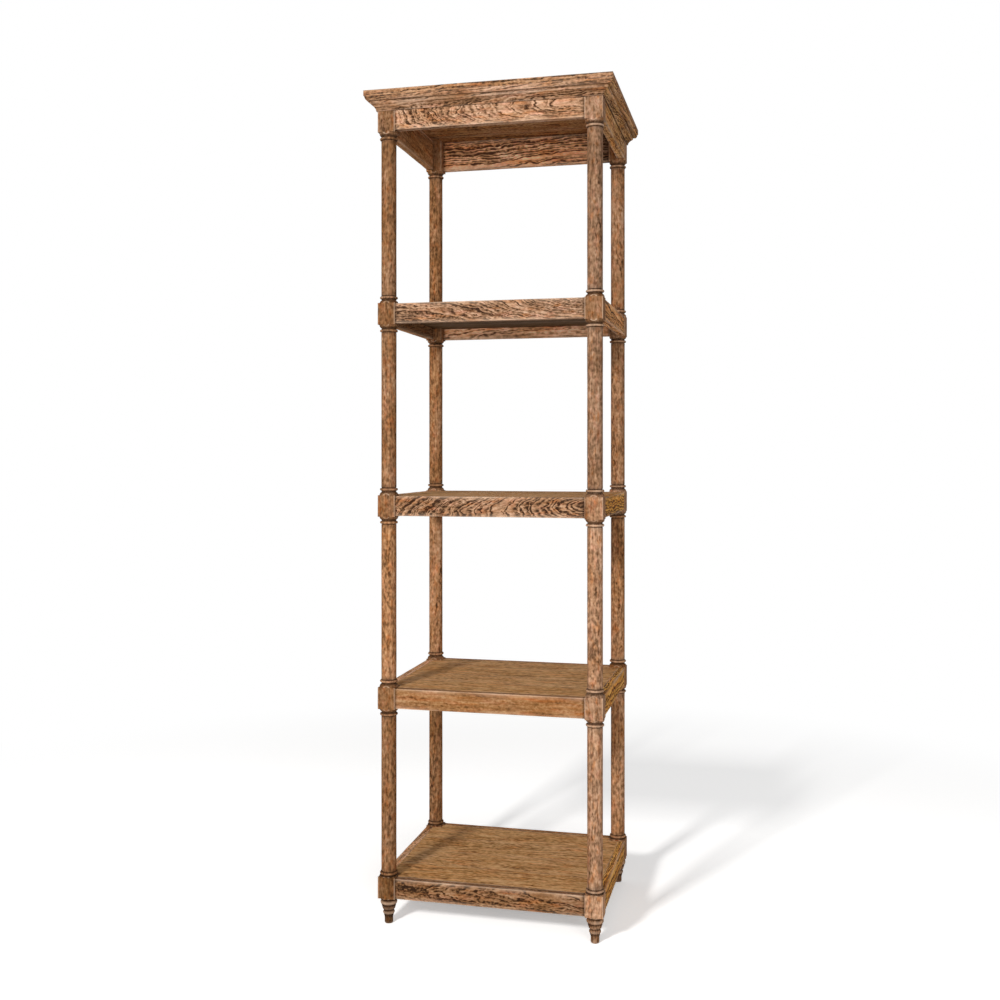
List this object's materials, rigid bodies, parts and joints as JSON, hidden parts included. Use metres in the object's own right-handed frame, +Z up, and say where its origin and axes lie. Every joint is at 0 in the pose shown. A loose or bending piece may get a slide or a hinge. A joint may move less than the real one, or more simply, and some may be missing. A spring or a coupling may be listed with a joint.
{
  "type": "open shelving unit",
  "caption": "Tall open shelving unit: turned corner columns between square blocks, railed shelves, a moulded cornice and turned feet.",
  "frame": {"origin": "on the floor, midway between the four feet", "axes": "+Z up, +X to the right seen from the front, -Y to the front"},
  "size_m": [0.626, 0.516, 2.09],
  "materials": {
    "column_oak": "open-grained weathered oak, matt, brushed",
    "block_oak": "open-grained weathered oak, matt, brushed",
    "foot_oak": "open-grained weathered oak, matt, brushed",
    "rail_oak": "open-grained weathered oak, matt, brushed",
    "board_oak": "open-grained weathered oak, matt, brushed",
    "top_oak": "open-grained weathered oak, matt, brushed",
    "cornice_oak": "open-grained weathered oak, matt, brushed",
    "dowel_beech": "plain, unfinished",
    "steel": "zinc-plated"
  },
  "bodies": {
    "root": {"foot_front_left": "foot_oak", "foot_front_right": "foot_oak", "foot_back_left": "foot_oak", "foot_back_right": "foot_oak", "foot_studs": "steel", "corner_blocks_1": "block_oak", "corner_blocks_2": "block_oak", "corner_blocks_3": "block_oak", "corner_blocks_4": "block_oak", "corner_blocks_frieze": "block_oak", "column_front_left_1": "column_oak", "column_front_left_2": "column_oak", "column_front_left_3": "column_oak", "column_front_left_4": "column_oak", "column_front_right_1": "column_oak", "column_front_right_2": "column_oak", "column_front_right_3": "column_oak", "column_front_right_4": "column_oak", "column_back_left_1": "column_oak", "column_back_left_2": "column_oak", "column_back_left_3": "column_oak", "column_back_left_4": "column_oak", "column_back_right_1": "column_oak", "column_back_right_2": "column_oak", "column_back_right_3": "column_oak", "column_back_right_4": "column_oak", "rail_front_1": "rail_oak", "rail_front_2": "rail_oak", "rail_front_3": "rail_oak", "rail_front_4": "rail_oak", "rail_back_1": "rail_oak", "rail_back_2": "rail_oak", "rail_back_3": "rail_oak", "rail_back_4": "rail_oak", "rail_left_1": "rail_oak", "rail_left_2": "rail_oak", "rail_left_3": "rail_oak", "rail_left_4": "rail_oak", "rail_right_1": "rail_oak", "rail_right_2": "rail_oak", "rail_right_3": "rail_oak", "rail_right_4": "rail_oak", "frieze_rail_front": "rail_oak", "frieze_rail_back": "rail_oak", "frieze_rail_left": "rail_oak", "frieze_rail_right": "rail_oak", "shelf_board_1": "board_oak", "shelf_board_2": "board_oak", "shelf_board_3": "board_oak", "shelf_board_4": "board_oak", "top_board": "top_oak", "cornice_front": "cornice_oak", "cornice_back": "cornice_oak", "cornice_left": "cornice_oak", "cornice_right": "cornice_oak", "top_dowels": "dowel_beech"}
  },
  "joints": []
}
